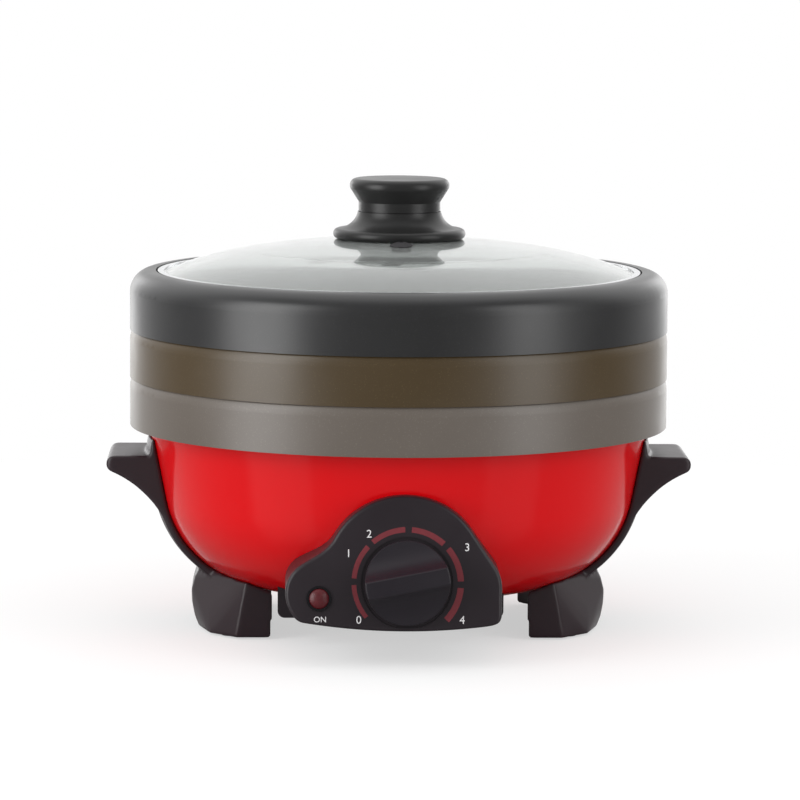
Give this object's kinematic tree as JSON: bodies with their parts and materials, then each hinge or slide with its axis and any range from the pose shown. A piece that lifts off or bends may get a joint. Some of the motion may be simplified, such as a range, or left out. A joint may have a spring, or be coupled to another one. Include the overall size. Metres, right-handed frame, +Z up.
{
  "type": "countertop multicooker",
  "caption": "Countertop multicooker: red bowl-shaped heater base with side handles and feet, a control dial, stacked nesting pots and a lift-off domed glass lid with a knob.",
  "frame": {"origin": "on the worktop, under the middle of the object's bounding box; the pots' axis is 9 mm behind it", "axes": "+Z up, -Y to the front where the dial faces the user, +X to the user's right through the handles"},
  "size_m": [0.338, 0.33, 0.26],
  "materials": {
    "red_enamel": "gloss red enamel on pressed steel",
    "shield_steel": "bare aluminised steel sheet",
    "plate_aluminium": "cast and turned",
    "element_sheath": "oxidised steel sheath",
    "screw_steel": "zinc plated",
    "cover_black": "satin black on pressed steel",
    "handle_plastic": "moulded heat-proof plastic, fine grain",
    "pad_rubber": "moulded rubber",
    "panel_plastic": "moulded heat-proof plastic, satin",
    "bracket_steel": "zinc-plated sheet",
    "thermostat_ceramic": "pressed ceramic body",
    "sensor_copper": "drawn copper tube",
    "fuse_ceramic": "ceramic sleeve with wire ends",
    "terminal_ceramic": "pressed ceramic",
    "bezel_plastic": "moulded",
    "lens_plastic": "moulded translucent red",
    "neon_glass": "blown glass bulb",
    "gland_rubber": "moulded rubber",
    "dial_plastic": "moulded, semi-gloss",
    "shaft_steel": "turned steel",
    "grey_coat": "grey non-stick coat on spun aluminium",
    "brown_coat": "brown non-stick coat on spun aluminium",
    "black_coat": "black non-stick coat on spun aluminium",
    "lid_glass": "tempered, polished",
    "rim_steel": "polished stainless band",
    "vent_rubber": "moulded silicone",
    "knob_plastic": "moulded heat-proof plastic",
    "gasket_silicone": "cut silicone sheet"
  },
  "bodies": {
    "base": {"outer_shell": "red_enamel", "heat_shield": "shield_steel", "heating_plate": "plate_aluminium", "heating_element": "element_sheath", "plate_spacers": "screw_steel", "plate_screws": "screw_steel", "bottom_cover": "cover_black", "bottom_cover_screws": "screw_steel", "left_handle_leg": "handle_plastic", "right_handle_leg": "handle_plastic", "leg_screws": "screw_steel", "foot_pads": "pad_rubber", "control_panel": "panel_plastic", "panel_bracket": "panel_plastic", "bracket_screws": "screw_steel", "panel_screws": "screw_steel", "thermostat": "thermostat_ceramic", "thermostat_screws": "screw_steel", "sensor_tube": "sensor_copper", "sensor_clip": "bracket_steel", "thermal_fuse": "fuse_ceramic", "terminal_block": "terminal_ceramic", "lamp_bezel": "bezel_plastic", "lamp_lens": "lens_plastic", "neon_lamp": "neon_glass", "cord_gland": "gland_rubber"},
    "dial": {"control_dial": "dial_plastic", "dial_shaft": "shaft_steel", "dial_hub_ring": "shaft_steel"},
    "deep_pot": {"deep_pot": "grey_coat"},
    "middle_pot": {"middle_pot": "brown_coat"},
    "shallow_pot": {"shallow_pot": "black_coat"},
    "lid": {"lid_glass": "lid_glass", "lid_rim": "rim_steel", "steam_vent": "vent_rubber", "knob_gasket": "gasket_silicone", "knob_foot": "knob_plastic", "knob_cap": "knob_plastic", "knob_washer": "shaft_steel", "knob_screw": "screw_steel"}
  },
  "joints": [
    {"name": "dial_turn", "type": "hinge", "parent": "base", "child": "dial", "pos_m": [0.0015, -0.14399, 0.0474], "axis": [0, -0.9903, 0.1392], "range_deg": [-52, 209]},
    {"name": "deep_pot_lift", "type": "slide", "parent": "base", "child": "deep_pot", "axis": [0, 0, 1], "range_m": [0, 0.1]},
    {"name": "middle_pot_lift", "type": "slide", "parent": "deep_pot", "child": "middle_pot", "axis": [0, 0, 1], "range_m": [0, 0.09]},
    {"name": "shallow_pot_lift", "type": "slide", "parent": "middle_pot", "child": "shallow_pot", "axis": [0, 0, 1], "range_m": [0, 0.07]},
    {"name": "lid_lift", "type": "slide", "parent": "shallow_pot", "child": "lid", "axis": [0, 0, 1], "range_m": [0, 0.08]}
  ]
}
